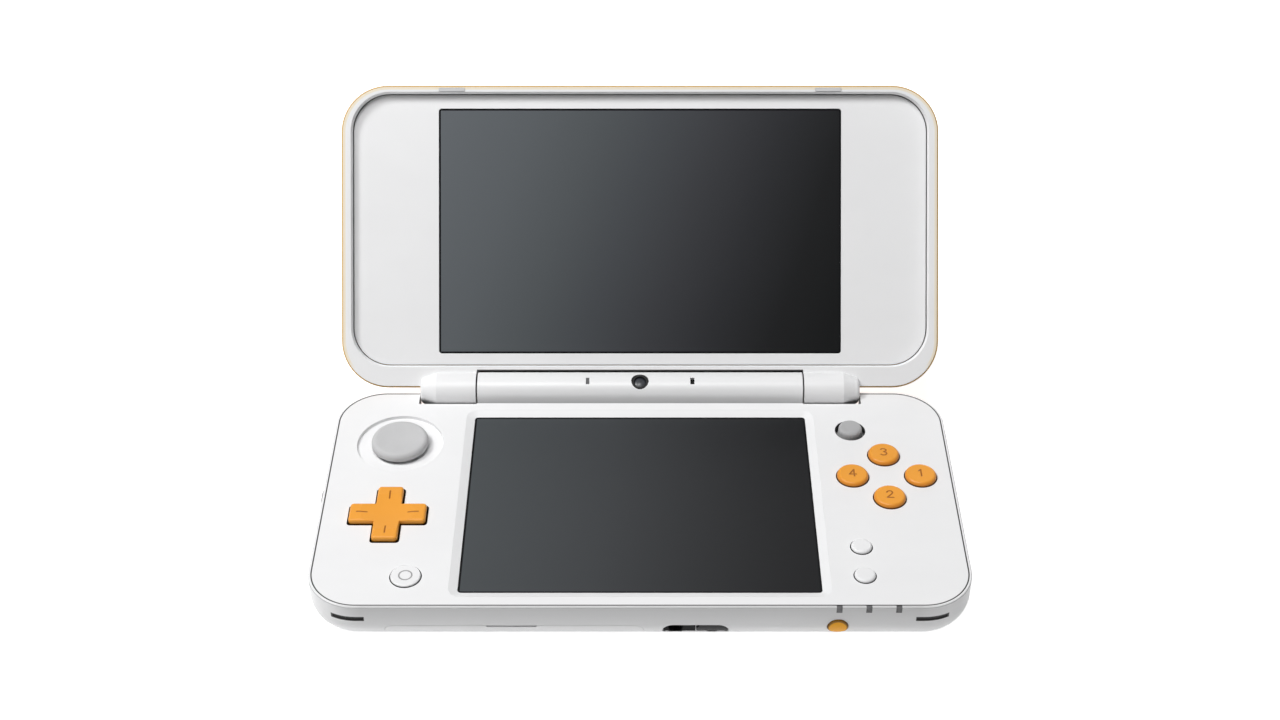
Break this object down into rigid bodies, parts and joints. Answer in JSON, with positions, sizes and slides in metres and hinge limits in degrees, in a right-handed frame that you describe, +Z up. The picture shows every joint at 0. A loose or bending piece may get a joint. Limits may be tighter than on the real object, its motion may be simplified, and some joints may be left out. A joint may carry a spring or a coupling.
{
  "type": "clamshell handheld game console",
  "caption": "Clamshell handheld game console: hinged lid with a wide screen over a base with a touch screen, thumb pad, direction pad, buttons, card door and stylus.",
  "frame": {"origin": "middle of the flat underside of the base", "axes": "+Z up from the table, +Y from the player to the hinge, +X to the player's right"},
  "size_m": [0.1602, 0.1353, 0.0779],
  "materials": {
    "white_shell": "fine satin moulded plastic",
    "white_gloss": "smooth white moulded plastic",
    "orange_shell": "satin orange plastic with fine ribs",
    "orange_button": "smooth orange moulded plastic",
    "grey_rubber": "matt light grey elastomer",
    "screen_glass": "dark glossy screen window",
    "display": "display module",
    "board": "solder mask",
    "steel": "pressed sheet and pins",
    "black_plastic": "black moulded plastic",
    "grey_plastic": "grey moulded plastic",
    "dark_insert": "dark grey moulded plastic",
    "lens": "coated lens",
    "membrane": "silicone sheet",
    "cell": "battery sleeve",
    "light_pipe": "smoked light pipe",
    "infrared": "infrared filter"
  },
  "bodies": {
    "base": {"bottom_case": "white_shell", "control_panel": "white_shell", "touch_panel": "screen_glass", "lower_display": "display", "display_tray": "steel", "main_board": "board", "processor_shield": "steel", "battery": "cell", "hinge_barrel": "white_gloss", "camera_modules": "black_plastic", "camera_lenses": "lens", "microphone": "steel", "hinge_units": "steel", "circle_pad_housing": "black_plastic", "left_membrane": "membrane", "right_membrane": "membrane", "d_pad_seat": "black_plastic", "nub_sensor": "black_plastic", "power_switch": "steel", "pivot_pins": "steel", "shoulder_switches": "steel", "volume_control": "steel", "headphone_jack": "dark_insert", "stylus_sleeve": "black_plastic", "game_card_slot": "black_plastic", "memory_card_slot": "steel", "speakers": "black_plastic", "charging_port": "steel", "infrared_window": "infrared", "indicator_lights": "light_pipe", "case_screws": "steel"},
    "lid": {"lid_cover": "orange_shell", "lid_frame": "white_gloss", "lid_panel": "white_shell", "upper_screen_lens": "screen_glass", "upper_display": "display", "lid_bumpers": "grey_rubber", "lid_magnet": "steel"},
    "pad_carriage": {"circle_pad_carriage": "grey_plastic"},
    "circle_pad": {"circle_pad_cap": "grey_rubber", "circle_pad_skirt": "grey_plastic"},
    "d_pad_ball": {"d_pad_pivot": "steel"},
    "d_pad": {"d_pad": "orange_button"},
    "nub_ball": {"nub_pivot": "steel"},
    "nub": {"nub_cap": "grey_rubber"},
    "face_button_right": {"face_button_right": "orange_button"},
    "face_button_front": {"face_button_front": "orange_button"},
    "face_button_back": {"face_button_back": "orange_button"},
    "face_button_left": {"face_button_left": "orange_button"},
    "start_button": {"start_button": "white_gloss"},
    "select_button": {"select_button": "white_gloss"},
    "home_button": {"home_button": "white_gloss"},
    "power_button": {"power_button": "orange_button"},
    "shoulder_button_left": {"shoulder_button_left": "white_gloss"},
    "shoulder_button_right": {"shoulder_button_right": "white_gloss"},
    "trigger_button_left": {"trigger_button_left": "white_gloss"},
    "trigger_button_right": {"trigger_button_right": "white_gloss"},
    "volume_slider": {"volume_slider": "grey_plastic"},
    "stylus": {"stylus": "dark_insert"},
    "card_door": {"card_door": "white_shell"}
  },
  "joints": [
    {"name": "lid_hinge", "type": "hinge", "parent": "base", "child": "lid", "pos_m": [0, 0.0406, 0.013], "axis": [-1, 0, 0], "range_deg": [-127, 28]},
    {"name": "circle_pad_x", "type": "slide", "parent": "base", "child": "pad_carriage", "axis": [1, 0, 0], "range_m": [-0.0025, 0.0025], "stiffness_N_per_m": 150},
    {"name": "circle_pad_y", "type": "slide", "parent": "pad_carriage", "child": "circle_pad", "axis": [0, 1, 0], "range_m": [-0.0025, 0.0025], "stiffness_N_per_m": 150},
    {"name": "d_pad_rock_x", "type": "hinge", "parent": "base", "child": "d_pad_ball", "pos_m": [-0.0625, -0.0084, 0.0093], "axis": [1, 0, 0], "range_deg": [-4, 4], "stiffness_Nm_per_rad": 0.03},
    {"name": "d_pad_rock_y", "type": "hinge", "parent": "d_pad_ball", "child": "d_pad", "pos_m": [-0.0625, -0.0084, 0.0093], "axis": [0, 1, 0], "range_deg": [-4, 4], "stiffness_Nm_per_rad": 0.03},
    {"name": "nub_tilt_x", "type": "hinge", "parent": "base", "child": "nub_ball", "pos_m": [0.05485, 0.0244, 0.0091], "axis": [1, 0, 0], "range_deg": [-3, 3], "stiffness_Nm_per_rad": 0.05},
    {"name": "nub_tilt_y", "type": "hinge", "parent": "nub_ball", "child": "nub", "pos_m": [0.05485, 0.0244, 0.0091], "axis": [0, 1, 0], "range_deg": [-3, 3], "stiffness_Nm_per_rad": 0.05},
    {"name": "face_button_right_press", "type": "slide", "parent": "base", "child": "face_button_right", "axis": [0, 0, -1], "range_m": [0, 0.0007], "stiffness_N_per_m": 600, "springref_m": -0.0005},
    {"name": "face_button_front_press", "type": "slide", "parent": "base", "child": "face_button_front", "axis": [0, 0, -1], "range_m": [0, 0.0007], "stiffness_N_per_m": 600, "springref_m": -0.0005},
    {"name": "face_button_back_press", "type": "slide", "parent": "base", "child": "face_button_back", "axis": [0, 0, -1], "range_m": [0, 0.0007], "stiffness_N_per_m": 600, "springref_m": -0.0005},
    {"name": "face_button_left_press", "type": "slide", "parent": "base", "child": "face_button_left", "axis": [0, 0, -1], "range_m": [0, 0.0007], "stiffness_N_per_m": 600, "springref_m": -0.0005},
    {"name": "start_press", "type": "slide", "parent": "base", "child": "start_button", "axis": [0, 0, -1], "range_m": [0, 0.0007], "stiffness_N_per_m": 600, "springref_m": -0.0005},
    {"name": "select_press", "type": "slide", "parent": "base", "child": "select_button", "axis": [0, 0, -1], "range_m": [0, 0.0007], "stiffness_N_per_m": 600, "springref_m": -0.0005},
    {"name": "home_press", "type": "slide", "parent": "base", "child": "home_button", "axis": [0, 0, -1], "range_m": [0, 0.0007], "stiffness_N_per_m": 600, "springref_m": -0.0005},
    {"name": "power_press", "type": "slide", "parent": "base", "child": "power_button", "axis": [0, 1, 0], "range_m": [0, 0.0005], "stiffness_N_per_m": 800, "springref_m": -0.0005},
    {"name": "shoulder_left_press", "type": "hinge", "parent": "base", "child": "shoulder_button_left", "pos_m": [-0.07318, 0.03512, 0.0065], "axis": [0, 0, -1], "range_deg": [0, 4], "stiffness_Nm_per_rad": 0.06, "springref_deg": -5.73},
    {"name": "shoulder_right_press", "type": "hinge", "parent": "base", "child": "shoulder_button_right", "pos_m": [0.07318, 0.03512, 0.0065], "axis": [0, 0, 1], "range_deg": [0, 4], "stiffness_Nm_per_rad": 0.06, "springref_deg": -5.73},
    {"name": "trigger_left_press", "type": "hinge", "parent": "base", "child": "trigger_button_left", "pos_m": [-0.054, 0.0369, 0.0047], "axis": [0, 0, -1], "range_deg": [0, 3.5], "stiffness_Nm_per_rad": 0.06, "springref_deg": -5.73},
    {"name": "trigger_right_press", "type": "hinge", "parent": "base", "child": "trigger_button_right", "pos_m": [0.054, 0.0369, 0.0047], "axis": [0, 0, 1], "range_deg": [0, 3.5], "stiffness_Nm_per_rad": 0.06, "springref_deg": -5.73},
    {"name": "volume_slide", "type": "slide", "parent": "base", "child": "volume_slider", "axis": [0, 1, 0], "range_m": [-0.003, 0.003]},
    {"name": "stylus_slide", "type": "slide", "parent": "base", "child": "stylus", "axis": [0, -1, 0], "range_m": [0, 0.058]},
    {"name": "card_door_hinge", "type": "hinge", "parent": "base", "child": "card_door", "pos_m": [0, -0.0371, 0.00228], "axis": [1, 0, 0], "range_deg": [0, 70]}
  ]
}
